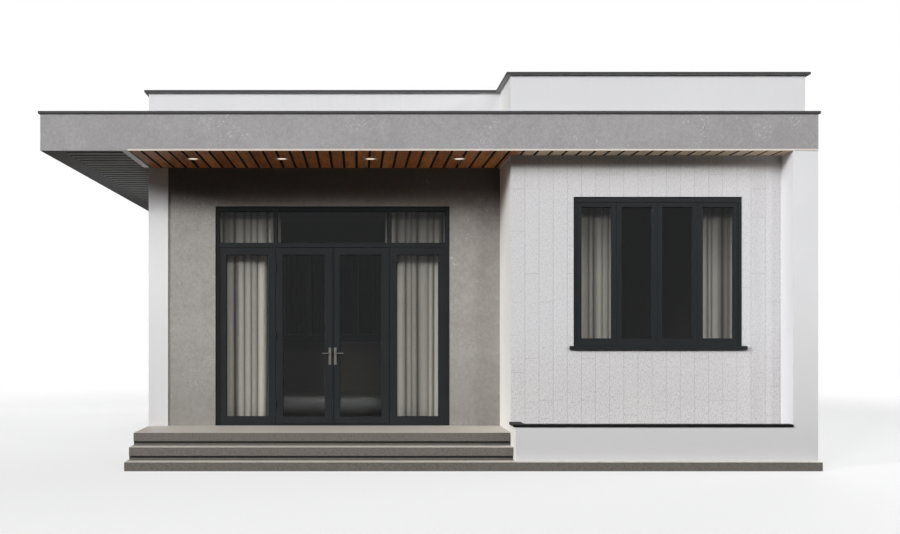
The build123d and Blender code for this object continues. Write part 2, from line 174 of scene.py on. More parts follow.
# A mesh piece from points and faces. Its doubles are merged and its faces turned outwards.
def makePiece(name, points, faces, finishes, body="house", replaced=(), faceFinish=None,
              tones=None):
    mesh = bpy.data.meshes.new(name)
    mesh.from_pydata(np.asarray(points).reshape(-1, 3).tolist(), [], [list(f) for f in faces])
    for finish in finishes:
        mesh.materials.append(finish)
    if faceFinish is not None:
        mesh.polygons.foreach_set("material_index", np.asarray(faceFinish, dtype=np.int32))
    for key, values in (tones or {}).items():
        layer = mesh.attributes.new(key, "FLOAT", "POINT")
        layer.data.foreach_set("value", np.asarray(values, dtype=np.float32).ravel())
    work = bmesh.new()
    work.from_mesh(mesh)
    bmesh.ops.remove_doubles(work, verts=work.verts, dist=hair)
    bmesh.ops.recalc_face_normals(work, faces=work.faces)
    work.to_mesh(mesh)
    work.free()
    settle(name, mesh, body, replaced)


# The mesh as a piece of the scene, on its body, in place of the nodes it replaces.
def settle(name, mesh, body, replaced):
    piece = bpy.data.objects.new(name, mesh)
    scene.collection.objects.link(piece)
    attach(piece, body)
    if replaced:
        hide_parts(*replaced)
    return piece


# Several closed surfaces as one list of points and faces.
def gathered(surfaces):
    points, faces, start = [], [], 0
    for surfacePoints, surfaceFaces in surfaces:
        flat = np.asarray(surfacePoints).reshape(-1, 3)
        points.append(flat)
        faces += [np.asarray(face) + start for face in surfaceFaces]
        start += len(flat)
    return np.concatenate(points), faces


# The lowest and highest corners of each separate solid of a CAD node.
def solidBoxes(name):
    work = bmesh.new()
    work.from_mesh(nodes[name].data)
    bmesh.ops.remove_doubles(work, verts=work.verts, dist=cadHair)
    boxes, seen = [], set()
    for first in work.verts:
        if first in seen:
            continue
        island, waiting = [], [first]
        seen.add(first)
        while waiting:
            vertex = waiting.pop()
            island.append(vertex.co[:])
            for edge in vertex.link_edges:
                other = edge.other_vert(vertex)
                if other not in seen:
                    seen.add(other)
                    waiting.append(other)
        corners = np.array(island)
        boxes.append((corners.min(0), corners.max(0)))
    work.free()
    return boxes


# A copy of a CAD node with its edges eased, which then stands for the node.
def eased(nodeName, name, finish, width, body="house"):
    work = bmesh.new()
    work.from_mesh(nodes[nodeName].data)
    bmesh.ops.remove_doubles(work, verts=work.verts, dist=cadHair)
    bmesh.ops.dissolve_limit(work, angle_limit=radians(0.5), verts=work.verts, edges=work.edges)
    mesh = bpy.data.meshes.new(name)
    work.to_mesh(mesh)
    work.free()
    mesh.materials.clear()
    mesh.materials.append(finish)
    piece = settle(name, mesh, body, [nodeName])
    bevel = piece.modifiers.new("easedEdges", "BEVEL")
    bevel.width = width
    bevel.segments = 2
    bevel.limit_method = "ANGLE"
    bevel.angle_limit = radians(40)


def dress(finish, *names):
    for name in names:
        mesh = nodes[name].data
        mesh.materials.clear()
        mesh.materials.append(finish)


# The corners of the frame's nodes that the finishes and pieces are placed by.
soffitLow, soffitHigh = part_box("soffit_boards")
claddingLow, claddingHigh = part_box("wing_cladding")
leftWallLow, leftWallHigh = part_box("left_wall")
wingLow, wingSideLow, porchTopLow, finLow = (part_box(name)[0] for name in (
    "wing_front_wall", "wing_side_wall", "porch_wall_top", "right_fin"))
rightWallHigh, backWallHigh, slabHigh, canopySlabHigh = (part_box(name)[1] for name in (
    "right_wall", "back_wall", "floor_slab", "canopy_slab"))
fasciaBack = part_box("pergola_beams")[0].y
onPlane = 0.004  # a point this near to a face counts as on it


# 1 inside the rooms, from the middle of the outer walls inwards, and 0 outside.
def insideRooms(finish):
    x, y, z = (finish.part(finish.place, axis) for axis in range(3))
    half = (leftWallHigh.x - leftWallLow.x) / 2
    across = (x > leftWallLow.x + half) * (x < rightWallHigh.x - half)
    mainRoom = (y > porchTopLow.y + half) * (y < backWallHigh.y - half)
    wingRoom = (y > wingLow.y + half) * (x > wingSideLow.x + half) * (y < backWallHigh.y - half)
    return across * mainRoom.most(wingRoom) * (z < soffitLow.z + 0.001)


roomPaint = paint(92, 86, 80)


# Finishes

# Heights between which a tone of the render comes in or fades out.
renderHeights = {
    "nearGround": (0.1, 0.3),
    "foot": (0.0, 0.7),
    "groundShade": (0.1, 2.6),
    "parapet": (2.9, 3.9),
    "underCoping": (4.1, 4.49),
}


# White render with fine sand and faint rain streaks near the ground and under the coping. Painted
# shade greys the front faces towards the ground and the walls above about 3 m, and painted light
# brightens the side of the wing and the inner face of the fin.
def whiteRender():
    finish = Finish("whiteRender")
    cloud = finish.rise(finish.noise(0.8, 4), 0.35, 0.65)
    sand = finish.noise(0.007, 2)
    rain = finish.noise(0.05, 3, (1, 1, 22))
    z = finish.part(finish.place, 2)
    tone = finish.mix(cloud, paint(219, 219, 221), paint(223, 223, 224))
    underCoping = finish.rise(z, *renderHeights["underCoping"])
    nearGround = 1 - finish.rise(z, *renderHeights["nearGround"])
    x, y = finish.part(finish.place, 0), finish.part(finish.place, 1)
    onWingSide = (abs(x - wingSideLow.x) < onPlane) * (y < porchTopLow.y)
    onFinSide = (abs(x - finLow.x) < onPlane) * (y > finLow.y + onPlane) * (y < claddingLow.y)
    onFront = 1 - onWingSide.most(onFinSide)
    # Painted shade: the front faces grey towards the ground, and more at the foot.
    groundShade = (1 - finish.rise(z, *renderHeights["groundShade"])) * onFront
    foot = (1 - finish.rise(z, *renderHeights["foot"])) * onFront
    wear = (underCoping * 0.35 + nearGround * 0.6) * finish.rise(rain, 0.5, 0.75) * 0.4
    tone = finish.mix(wear, tone, paint(176, 174, 168))
    tone = finish.mix(groundShade, tone, paint(199, 198, 199))
    tone = finish.mix(foot * 0.33, tone, paint(150, 149, 150))
    # Painted light: the side of the wing and the inner face of the fin are brighter.
    tone = finish.mix(onWingSide * 0.5, tone, paint(242, 238, 231))
    tone = finish.mix(onFinSide, tone, paint(234, 234, 237))
    # Painted shade: the walls grey above about 3 m.
    parapet = finish.rise(z, *renderHeights["parapet"])
    tone = finish.mix(parapet * 0.5, tone, paint(211, 211, 213))
    tone = finish.mix(finish.rise(sand, 0.5, 0.8) * 0.12, tone, paint(190, 189, 187))
    tone = finish.mix(insideRooms(finish), tone, roomPaint)
    return finish.finished(finish.surface(tone, 0.86, finish.relief(sand, 0.0006)))


cementMarks = {
    "arcSpacing": 0.04,
    "patchEdge": (0.14, 0.27),
    "shadeUnderSoffit": (0.55, 0.2),
    "floorShadeHeight": 1.2,
}


# Trowelled cement: clouds, fine specks, and thin pale arcs of the trowel in scattered patches.
# Painted shade darkens it close under the soffit and near the floor.
def trowelledCement(name, dark, light, fleck, patchWidth):
    finish = Finish(name)
    cloud = finish.noise(1.1, 5, rough=0.55, twist=0.6)
    patch = finish.noise(0.2, 5, rough=0.62, twist=1.0)
    mottle = finish.noise(0.035, 3, (1, 1, 1.3), twist=0.5)
    speck = finish.noise(0.018, 3, rough=0.6)
    blend = cloud * 0.34 + patch * 0.33 + mottle * 0.33
    x, y, z = (finish.part(finish.place, axis) for axis in range(3))
    wander = finish.noise(0.13, 3) * 0.2
    across = finish.node("ShaderNodeCombineXYZ", None, {0: x + y * 0.9 + wander, 1: z + wander})
    away = finish.node("ShaderNodeTexVoronoi", {"voronoi_dimensions": "2D"},
                       {"Vector": across, "Scale": 1 / patchWidth}, "Distance") * patchWidth
    wave = away.maths("SINE", away * (2 * pi / cementMarks["arcSpacing"]))
    ring = finish.rise(wave, 0.6, 0.97)
    near = 1 - finish.rise(away, *cementMarks["patchEdge"])
    broken = finish.rise(finish.noise(0.04, 3), 0.48, 0.6)
    onOneSide = finish.rise(finish.noise(0.17, 2), 0.47, 0.55)
    flecks = ring * near * broken * onOneSide
    dots = finish.rise(finish.noise(0.011, 2), 0.62, 0.72) * finish.rise(patch, 0.45, 0.62)
    grain = finish.noise(0.004, 2)
    tone = finish.mix(finish.rise(blend, 0.38, 0.62), dark, light)
    tone = finish.mix((1 - finish.rise(speck, 0.32, 0.46)) * 0.5, tone, dark)
    tone = finish.mix(finish.rise(speck, 0.54, 0.7) * 0.17, tone, fleck)
    tone = finish.mix((flecks * 0.62).most(dots * 0.4), tone, fleck)
    # Painted shade close under the soffit.
    shadeLow, shadeHigh = (soffitLow.z - drop for drop in cementMarks["shadeUnderSoffit"])
    underSoffit = finish.rise(z, shadeLow, shadeHigh) * (z < soffitLow.z)
    tone = finish.mix(underSoffit * 0.72, tone, paint(38, 37, 33))
    # Painted shade towards the floor.
    nearFloor = 1 - finish.rise(z, slabHigh.z, slabHigh.z + cementMarks["floorShadeHeight"])
    tone = finish.mix(nearFloor * 0.45, tone, paint(96, 92, 88))
    tone = finish.mix(insideRooms(finish), tone, roomPaint)
    height = patch * 0.6 + flecks * 0.3 + grain * 0.1
    roughness = 0.62 + 0.2 * patch
    return finish.finished(finish.surface(tone, roughness, finish.relief(height, 0.0012)))


stoneMarks = {
    "grain": 0.005,
    "gap": (0.03, 0.022),
    "nearRiser": (0.13, 0.06),
}


# Flamed granite: mixed dark and pale grains of a few millimetres under slow clouds. Faces that
# look up are smoother, and painted lighter as painted light, the lower treads lighter still. A riser
# has painted shade under each nosing, and painted shade darkens a tread close to the next riser.
def granite(name, shadeUnderNosings=(), steps=()):
    finish = Finish(name)
    grains = finish.node("ShaderNodeTexVoronoi", None,
                         {"Vector": finish.place, "Scale": 1 / stoneMarks["grain"]}, "Color")
    random = finish.part(grains, 0)
    clumps = finish.noise(0.016, 3, rough=0.6)
    cloud = finish.noise(0.7, 3)
    tone = finish.mix(random, paint(56, 53, 50), paint(112, 106, 99))
    tone = finish.mix(finish.rise(clumps, 0.38, 0.62) * 0.75, tone, paint(106, 101, 95))
    tone = finish.mix(finish.rise(random, 0.9, 0.95) * 0.6, tone, paint(48, 46, 44))
    tone = finish.mix(finish.rise(cloud, 0.3, 0.7) * 0.25, tone, paint(96, 91, 85))
    litAndWornTop = finish.rise(finish.part(finish.node("ShaderNodeNewGeometry", output="Normal"), 2),
                       0.6, 0.95)
    z = finish.part(finish.place, 2)
    # Painted light: faces that look up are much lighter, the lower treads lighter still.
    tread = finish.mix(cloud, paint(222, 216, 204), paint(233, 227, 216))
    tread = finish.mix(z < slabHigh.z - 0.05, tread, paint(246, 241, 232))
    tone = finish.mix(litAndWornTop * 0.92, tone, tread)
    # Painted shade: near black just under each nosing.
    for under in shadeUnderNosings:
        nosingShadeShare = finish.rise(z, *(under - drop for drop in stoneMarks["gap"])) * (z < under)
        tone = finish.mix(nosingShadeShare, tone, paint(4, 4, 3))
    y = finish.part(finish.place, 1)
    # Painted shade on each tread close to the next riser.
    for top, nextFront in steps:
        near = finish.rise(y, *(nextFront - before for before in stoneMarks["nearRiser"]))
        nearRiser = near * (abs(z - top) < onPlane)
        tone = finish.mix(nearRiser * 0.8, tone, paint(66, 61, 54))
    height = random * 0.5 + clumps * 0.5
    return finish.finished(finish.surface(tone, 0.6 - 0.2 * litAndWornTop + 0.15 * random,
                                          finish.relief(height, 0.0008)))


# Pale tiles with a fine upright comb and small pits. Each tile has its own tone. Painted shade
# darkens the lower part, where the comb and pits also show more.
def claddingTile():
    finish = Finish("claddingTile")
    tile = finish.attribute("tileTone")
    comb = finish.noise(0.012, 3, (1, 1, 2.6), rough=0.6)
    pits = finish.noise(0.014, 3, (1, 1, 1.2), rough=0.65)
    cloud = finish.noise(0.5, 3)
    # Painted shade: darker towards the ground.
    low = 1 - finish.rise(finish.part(finish.place, 2), 0.8, 1.7)
    tone = finish.mix(tile, paint(207, 206, 208), paint(210, 209, 211))
    tone = finish.mix(low * 0.9, tone, paint(203, 201, 201))
    combShare = finish.rise(comb, 0.44, 0.64) * (0.38 + 0.3 * low)
    tone = finish.mix(combShare, tone, paint(174, 172, 172))
    pitShare = finish.rise(pits, 0.54, 0.66) * (0.52 + 0.4 * low)
    tone = finish.mix(pitShare, tone, paint(160, 158, 158))
    tone = finish.mix(finish.rise(cloud, 0.35, 0.7) * 0.2, tone, paint(206, 204, 202))
    height = comb * 0.6 + (1 - pits) * 0.4
    return finish.finished(finish.surface(tone, 0.8, finish.relief(height, 0.0014)))


# A plain finish of two near tones in a fine grain, whose size and relief are given.
def fineGrain(name, size, dark, light, roughness, relief, stretch=(1, 1, 1)):
    finish = Finish(name)
    grain = finish.noise(size, 2, stretch)
    tone = finish.mix(grain, dark, light)
    return finish.finished(finish.surface(tone, roughness, finish.relief(grain, relief)))


# Oiled boards: streaks along the grain, slow bands of figure, and a tone for each board. Painted
# light makes the boards over the wing paler.
def timber():
    finish = Finish("timber")
    board = finish.attribute("boardTone")
    shifted = finish.node("ShaderNodeVectorMath", {"operation": "ADD"},
                          {0: finish.place, 1: finish.node(
                              "ShaderNodeCombineXYZ", None, {0: board * 7.0, 1: board * 31.0})})
    streak = finish.noise(0.006, 4, (1, 45, 1), place=shifted)
    figure = finish.noise(0.045, 4, (1, 14, 1), twist=1.2, place=shifted)
    tone = finish.mix(board, paint(204, 120, 58), paint(242, 160, 90))
    tone = finish.mix(finish.rise(figure, 0.38, 0.68) * 0.65, tone, paint(136, 68, 30))
    tone = finish.mix(finish.rise(streak, 0.5, 0.72) * 0.55, tone, paint(84, 42, 20))
    # Painted light: the boards over the wing are paler.
    overWing = finish.rise(finish.part(finish.place, 0), claddingLow.x, claddingLow.x + 0.2)
    tone = finish.mix(overWing * 0.9, tone, paint(252, 230, 198))
    roughness = 0.3 + 0.2 * streak
    return finish.finished(finish.surface(tone, roughness, finish.relief(streak, 0.0005)))


# Painted or coated metal: a fine orange peel, slow changes of sheen and a little dust. The faces
# that look down may be painted lighter, as painted light.
def coatedMetal(name, colour, dusty, roughness, peel=0.00012, level=0.22, paintedUnderLight=None):
    finish = Finish(name)
    skin = finish.noise(0.0022, 2)
    smear = finish.noise(0.35, 4, twist=0.4)
    tone = finish.mix(finish.rise(smear, 0.45, 0.75) * 0.35, colour, dusty)
    if paintedUnderLight:
        facing = finish.part(finish.node("ShaderNodeNewGeometry", output="Normal"), 2)
        tone = finish.mix(facing < -0.7, tone, paintedUnderLight)
    sheen = roughness + 0.14 * smear
    return finish.finished(finish.surface(tone, sheen, finish.relief(skin, peel),
                                          {"Specular IOR Level": level}))


def brushedSteel():
    finish = Finish("brushedSteel")
    brush = finish.noise(0.0006, 2, (60, 60, 1))
    tone = finish.mix(brush, paint(136, 133, 129), paint(160, 157, 153))
    return finish.finished(finish.surface(tone, 0.24 + 0.18 * brush,
                                          finish.relief(brush, 0.00004), {"Metallic": 1.0}))


# Tinted glass. Lamps and the light from matt surfaces go straight through, so the rooms are lit.
def glass():
    finish = Finish("glass")
    tint = paint(236, 238, 237)
    wave = finish.noise(0.5, 1)
    pane = finish.surface(tint, 0.0, finish.relief(wave, 0.0004),
                          {"IOR": 1.6, "Transmission Weight": 1.0})
    through = finish.node("ShaderNodeBsdfTransparent", None, {"Color": paint(230, 232, 231)})
    path = "ShaderNodeLightPath"
    unseen = finish.node(path, output="Is Shadow Ray").most(
        finish.node(path, output="Is Diffuse Ray"))
    return finish.finished(finish.node("ShaderNodeMixShader", None,
                                       {0: unseen, 1: pane, 2: through}))


def lampGlow():
    finish = Finish("lampGlow")
    frost = finish.noise(0.004, 2)
    tone = finish.mix(frost, paint(255, 243, 222), paint(255, 236, 208))
    return finish.finished(finish.surface(
        tone, 0.4, others={"Emission Color": tone, "Emission Strength": 1.3}))


weaving = {
    "thread": 0.0016,
    "hemStitch": (0.118, 0.121),
    "shadeAtHead": (2.1, 2.95),
}


# Woven curtain cloth: warp and weft follow the cloth's own map, whose unit is a metre. Painted
# shade darkens the valleys of the folds, the cloth near the heading, and each curtain by its share.
def curtainCloth():
    finish = Finish("curtainCloth")
    flat = finish.node("ShaderNodeUVMap", {"uv_map": "cloth"})
    across, down = finish.part(flat, 0), finish.part(flat, 1)
    warp, weft = (way.maths("SINE", way * (2 * pi / weaving["thread"])) * 0.5 + 0.5
                  for way in (across, down))
    slub = finish.noise(0.004, 3, (1, 40, 1), place=flat)
    slubDown = finish.noise(0.004, 3, (30, 1, 1), place=flat)
    weave = warp * weft
    fold = finish.attribute("foldDepth")
    tone = finish.mix(finish.rise(slub, 0.42, 0.7), paint(248, 238, 230), paint(233, 222, 212))
    tone = finish.mix(finish.rise(slubDown, 0.5, 0.75) * 0.3, tone, paint(204, 194, 183))
    stitch = (down > weaving["hemStitch"][0]) * (down < weaving["hemStitch"][1])
    tone = finish.mix(stitch * 0.5, tone, paint(176, 166, 155))
    # Painted shade in the valleys of the folds.
    tone = finish.mix(finish.rise(fold, 0.15, 0.95) * 0.95, tone, paint(64, 56, 49))
    # Painted shade near the heading.
    nearHead = finish.rise(finish.part(finish.place, 2), *weaving["shadeAtHead"])
    tone = finish.mix(nearHead * 0.64, tone, paint(44, 42, 37))
    # Painted shade on each curtain by its share.
    tone = finish.mix(finish.attribute("clothShade"), tone, paint(60, 57, 52))
    cloth = finish.surface(tone, 0.9, finish.relief(weave * 0.5 + slub * 0.5, 0.0006),
                           {"Sheen Weight": 0.25, "Sheen Roughness": 0.5})
    return finish.finished(cloth)


floorTiles = {
    "width": 0.6,
    "joint": 0.003,
}


# A slab: pour marks outside, and on top the floor tiles of the rooms.
def floorSlab():
    finish = Finish("floorSlab")
    cloud = finish.noise(0.6, 5, twist=0.5)
    pores = finish.rise(finish.noise(0.008, 2), 0.62, 0.72)
    tone = finish.mix(finish.rise(cloud, 0.35, 0.65), paint(128, 125, 120), paint(146, 143, 138))
    tone = finish.mix(pores * 0.5, tone, paint(98, 95, 91))
    top = finish.part(finish.place, 2) > slabHigh.z - 0.002
    tiles = finish.node("ShaderNodeTexBrick", {"offset": 0.0, "squash": 1.0},
                        {"Vector": finish.place, "Scale": 1.0, "Color1": paint(62, 58, 52),
                         "Color2": paint(69, 64, 58), "Mortar": paint(44, 41, 38),
                         "Mortar Size": floorTiles["joint"],
                         "Brick Width": floorTiles["width"], "Row Height": floorTiles["width"]})
    tone = finish.mix(top, tone, tiles)
    roughness = 0.8 - 0.45 * top
    return finish.finished(finish.surface(tone, roughness, finish.relief(cloud, 0.0006)))


# The roof's sheet: felt strips a metre wide with lapped edges, and stains where water stood.
def roofFelt():
    finish = Finish("roofFelt")
    x, z = finish.part(finish.place, 0), finish.part(finish.place, 2)
    grit = finish.noise(0.004, 2)
    pond = finish.noise(1.6, 4, twist=0.8)
    strip = x.maths("FRACT", x + 20.0)  # whole metres are added so that no x is below 0
    lapWidth = 0.012
    lap = (1 - finish.rise(strip, 0.0, lapWidth)).most(finish.rise(strip, 1 - lapWidth, 1.0))
    tone = finish.mix(grit, paint(150, 149, 146), paint(176, 175, 171))
    tone = finish.mix(finish.rise(pond, 0.5, 0.66) * 0.35, tone, paint(126, 122, 113))
    tone = finish.mix(lap * 0.6, tone, paint(108, 106, 102))
    ceiling = z < soffitLow.z + 0.01
    tone = finish.mix(ceiling, tone, roomPaint)
    height = grit * 0.3 + lap * 0.7
    return finish.finished(finish.surface(tone, 0.88, finish.relief(height, 0.002)))


white = whiteRender()
fasciaCement = trowelledCement("fasciaCement", paint(146, 144, 145), paint(159, 157, 158),
                               paint(205, 204, 204), 0.8)
porchCement = trowelledCement("porchCement", paint(139, 135, 130), paint(154, 151, 146),
                              paint(192, 189, 186), 0.55)
treads = [(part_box(name)[1].z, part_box(nextName)[0].y) for name, nextName in
          (("bottom_step", "middle_step"), ("middle_step", "landing_slab"))]
stone = granite("granite", steps=treads)
riserStone = granite("riserStone", [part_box(name)[0].z for name in ("landing_slab", "middle_step")])
# The copings, the trim and the grey metal are painted lighter underneath, as painted light.
darkCoping = coatedMetal("darkCoping", paint(66, 66, 67), paint(76, 76, 76), 0.5,
                         paintedUnderLight=paint(150, 150, 150))
blackRim = coatedMetal("blackRim", paint(9, 11, 11), paint(17, 18, 18), 0.5, level=0.15)
lightTrim = coatedMetal("lightTrim", paint(214, 206, 197), paint(200, 192, 182), 0.16, 0.00003,
                        level=0.6, paintedUnderLight=paint(250, 245, 238))
anthracite = coatedMetal("anthracite", paint(23, 27, 29), paint(29, 33, 35), 0.42)
greyMetal = coatedMetal("greyMetal", paint(118, 118, 115), paint(106, 105, 101), 0.5,
                        paintedUnderLight=paint(186, 185, 181))
steel = brushedSteel()
pane = glass()
board, tile, cloth, glow = timber(), claddingTile(), curtainCloth(), lampGlow()
seal = fineGrain("rubber", 0.002, paint(20, 20, 21), paint(30, 30, 31), 0.7, 0.0001)
# The dark finish of the soffit's grooves is painted shade.
gap = fineGrain("boardGap", 0.006, paint(20, 13, 9), paint(32, 22, 16), 0.95, 0.0003, (1, 30, 1))
joint = fineGrain("claddingJoint", 0.003, paint(122, 120, 118), paint(148, 146, 144), 0.9, 0.0003)
rim = fineGrain("lampRim", 0.003, paint(228, 222, 212), paint(238, 233, 224), 0.45, 0.0001)

dress(white, "planter_box", "right_fin", "left_pilaster", "left_wall", "right_wall", "back_wall",
      "front_parapet", "wing_side_wall", "wing_front_wall")
dress(porchCement, "porch_wall_left", "porch_wall_right", "porch_wall_top")
dress(fasciaCement, "front_fascia", "canopy_slab", "pergola_beams")
dress(riserStone, "step_core")
dress(floorSlab(), "floor_slab")
dress(roofFelt(), "roof_slab")
dress(anthracite, "door_frame", "side_panels", "door_leaf_left", "door_leaf_right",
      "window_frames", "window_sashes")
dress(greyMetal, "curtain_tracks")
dress(steel, "lever_left", "lever_right")
dress(pane, "fixed_glass", "door_glass_left", "door_glass_right", "window_glass")
print("finishes made")

eased("bottom_step", "bottomStepStone", stone, 0.004)
eased("middle_step", "middleStepStone", stone, 0.005)
eased("landing_slab", "landingStone", stone, 0.005)
eased("planter_rim", "planterRimMetal", blackRim, 0.002)
eased("parapet_coping", "parapetCopingMetal", darkCoping, 0.002)
eased("canopy_coping", "canopyCopingMetal", darkCoping, 0.002)
eased("soffit_trim", "soffitTrimStrips", lightTrim, 0.001)
eased("pergola_louvres", "pergolaLouvreBlades", greyMetal, 0.004)
eased("window_sills", "windowSillCaps", anthracite, 0.003)
eased("handle_plates_left", "leftHandlePlates", steel, 0.0015, "left_leaf")
eased("handle_plates_right", "rightHandlePlates", steel, 0.0015, "right_leaf")
print("edges eased")


# Soffit boards, each with a rebated tongue whose groove, dark with painted shade, shows beside
# the next board.

soffitBoards = {
    "leftPitch": 0.151,
    "leftCount": 22,
    "rightPitch": 0.161,
    "firstEdge": 0.014,
    "groove": 0.03,
    "grooveDepth": 0.014,
    "easedEdge": 0.0015,
    "closedEnd": 0.004,
    "overlap": 1e-5,  # keeps a tongue from merging with the next board
    "canRadius": 0.061,
    "lampStations": 17,
    "narrowStrip": 0.02,
}


# Each board is a section carried along y. Its edges are lines in y, and at a lamp they follow the
# can: x = centre - sqrt(r * r - (y - centre y) ** 2) on the left of it, and + on the right. A board
# of which no more than a narrow strip is over the porch ends at the wing.
def makeSoffit():
    size = soffitBoards
    lamps = [(low + high) / 2 for low, high in solidBoxes("downlights")]
    canRadius = size["canRadius"]
    edges = soffitLow.x + size["firstEdge"] + np.arange(size["leftCount"]) * size["leftPitch"]
    last = edges[-1] + size["leftPitch"]
    rightCount = int((canopySlabHigh.x - last) / size["rightPitch"]) + 1
    edges = np.append(edges, last + np.arange(rightCount) * size["rightPitch"])
    edges[0] = soffitLow.x
    ends = np.append(edges[1:], canopySlabHigh.x)
    edges = np.append(edges, canopySlabHigh.x)
    ends = np.append(ends, soffitHigh.x)
    front = soffitLow.y
    backs = np.where(edges < claddingLow.x - 0.001, soffitHigh.y, wingLow.y)
    backs[-1] = fasciaBack
    rng = np.random.default_rng(7)
    surfaces, faceFinish, tones = [], [], []
    for left, right, back in zip(edges, ends, backs):
        if left < claddingLow.x < min(right, left + size["narrowStrip"]):
            back = wingLow.y
        y = np.array([front, back])
        for centre in lamps:
            if back > centre[1]:
                turn = np.linspace(0, pi, size["lampStations"])
                y = np.append(y, centre[1] - canRadius * np.cos(turn))
        y = np.unique(np.round(np.append(y, back - size["closedEnd"]), 6))
        faceRight = np.full(len(y), right - size["groove"])
        tongue = np.full(len(y), right)
        firstGap = size["groove"] if left == soffitLow.x else 0.0
        faceLeft = np.full(len(y), left + firstGap)
        for centre in lamps:
            half = np.sqrt(np.clip(canRadius ** 2 - (y - centre[1]) ** 2, 0, None))
            near = half > hair
            if (left + right) / 2 < centre[0]:
                faceRight = np.where(near, np.minimum(faceRight, centre[0] - half), faceRight)
                tongue = np.where(near, np.minimum(tongue, centre[0] - half), tongue)
            else:
                faceLeft = np.where(near, np.maximum(faceLeft, centre[0] + half), faceLeft)
        ease, low, high = size["easedEdge"], soffitLow.z, soffitHigh.z
        deep = np.where(y == y[-1], low + ease, low + size["grooveDepth"])
        tongue = tongue + size["overlap"]
        across = [faceLeft, faceLeft, faceLeft + ease, faceRight - ease, faceRight, faceRight,
                  tongue, tongue]
        up = [high, low + ease, low, low, low + ease, deep, deep, high]
        section = np.stack([np.stack([x, y, np.zeros(len(y)) + z], axis=-1)
                            for x, z in zip(across, up)], axis=1)
        stations, corners = len(y), len(up)
        faces = gridFaces(stations, corners, roundColumns=True)
        caps = [np.arange(corners), (stations - 1) * corners + np.arange(corners)]
        surfaces.append((section, [*faces, *caps]))
        # The sides and the bottom of the groove take the dark finish, as painted shade.
        dark = np.tile(np.isin(np.arange(corners), [0, 4, 5, 6]), stations - 1)
        faceFinish += [*dark.astype(int), 0, 0]
        tones.append(np.full(stations * corners, rng.random()))
    points, faces = gathered(surfaces)
    makePiece("soffitPlanks", points, faces, [board, gap], replaced=["soffit_boards"],
              faceFinish=faceFinish, tones={"boardTone": np.concatenate(tones)})


makeSoffit()
print("soffit made")


# Wing cladding: one skin whose grooves are real. Upright joints run through, and a level joint
# crosses a column only here and there.

wingTiles = {
    "width": 0.163,
    "module": 0.163,
    "narrowest": 0.02,
    "joint": 0.003,
    "depth": 0.0015,
    "jointShare": 0.17,
    "setBack": 0.0005,
    "mostInColumn": 40,  # numbers set aside for the tiles of a column
}


